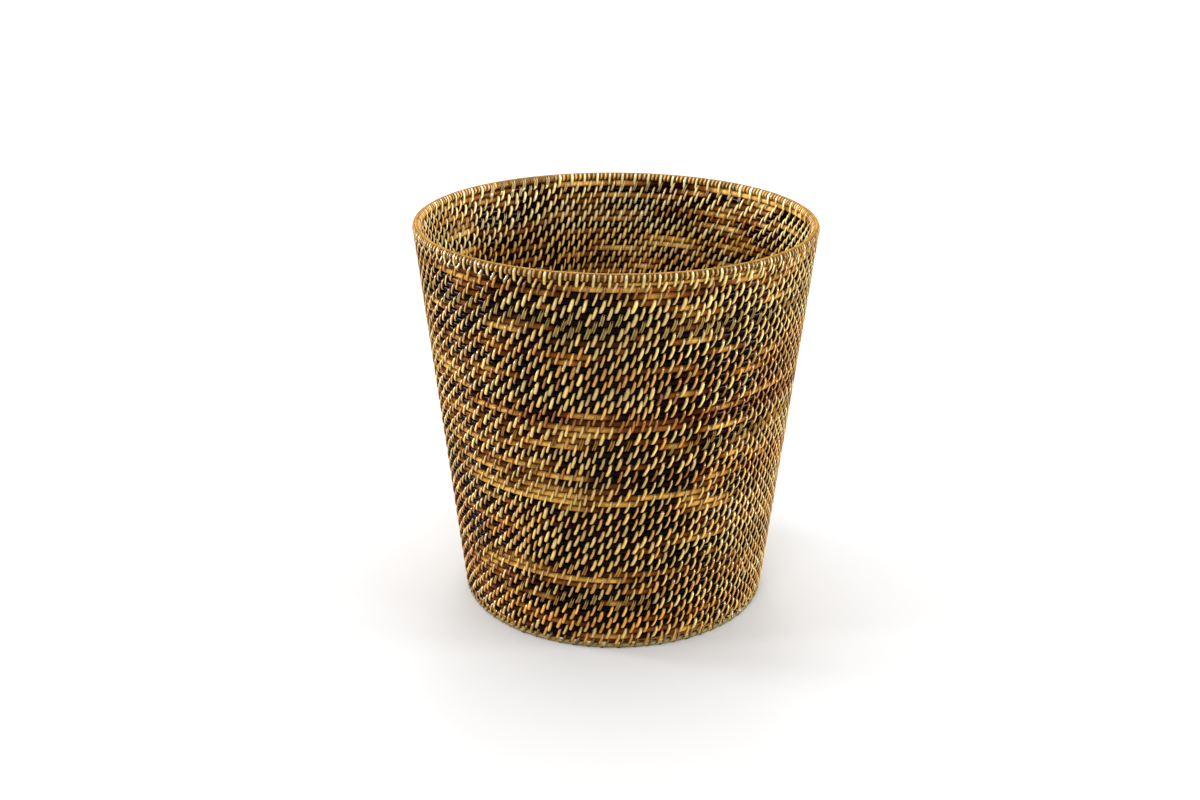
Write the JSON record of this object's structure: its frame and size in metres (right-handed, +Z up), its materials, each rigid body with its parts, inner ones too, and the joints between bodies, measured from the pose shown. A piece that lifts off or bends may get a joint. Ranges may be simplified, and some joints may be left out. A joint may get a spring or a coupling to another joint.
{
  "type": "waste basket",
  "caption": "Round, tapered waste basket of coiled and bound rattan cane, open at the top, with a flat coiled floor.",
  "frame": {"origin": "on the ground, under the middle of the floor", "axes": "+Z up through the open mouth; the coils run clockwise seen from above, and their seam is on the +Y side"},
  "size_m": [0.305, 0.305, 0.302],
  "materials": {
    "core_cane": "stained and varnished",
    "binding_cane": "varnished"
  },
  "bodies": {
    "root": {"floor_start_core": "core_cane", "floor_start_binding": "binding_cane", "floor_core_1": "core_cane", "floor_binding_1": "binding_cane", "floor_core_2": "core_cane", "floor_binding_2": "binding_cane", "floor_core_3": "core_cane", "floor_binding_3": "binding_cane", "floor_end_core": "core_cane", "floor_end_binding": "binding_cane", "foot_core": "core_cane", "foot_binding": "binding_cane", "wall_start_core": "core_cane", "wall_start_binding": "binding_cane", "wall_core_01": "core_cane", "wall_binding_01": "binding_cane", "wall_core_02": "core_cane", "wall_binding_02": "binding_cane", "wall_core_03": "core_cane", "wall_binding_03": "binding_cane", "wall_core_04": "core_cane", "wall_binding_04": "binding_cane", "wall_core_05": "core_cane", "wall_binding_05": "binding_cane", "wall_core_06": "core_cane", "wall_binding_06": "binding_cane", "wall_core_07": "core_cane", "wall_binding_07": "binding_cane", "wall_core_08": "core_cane", "wall_binding_08": "binding_cane", "wall_core_09": "core_cane", "wall_binding_09": "binding_cane", "wall_core_10": "core_cane", "wall_binding_10": "binding_cane", "wall_core_11": "core_cane", "wall_binding_11": "binding_cane", "wall_core_12": "core_cane", "wall_binding_12": "binding_cane", "wall_end_core": "core_cane", "wall_end_binding": "binding_cane", "rim_core": "core_cane", "rim_binding": "binding_cane"}
  },
  "joints": []
}
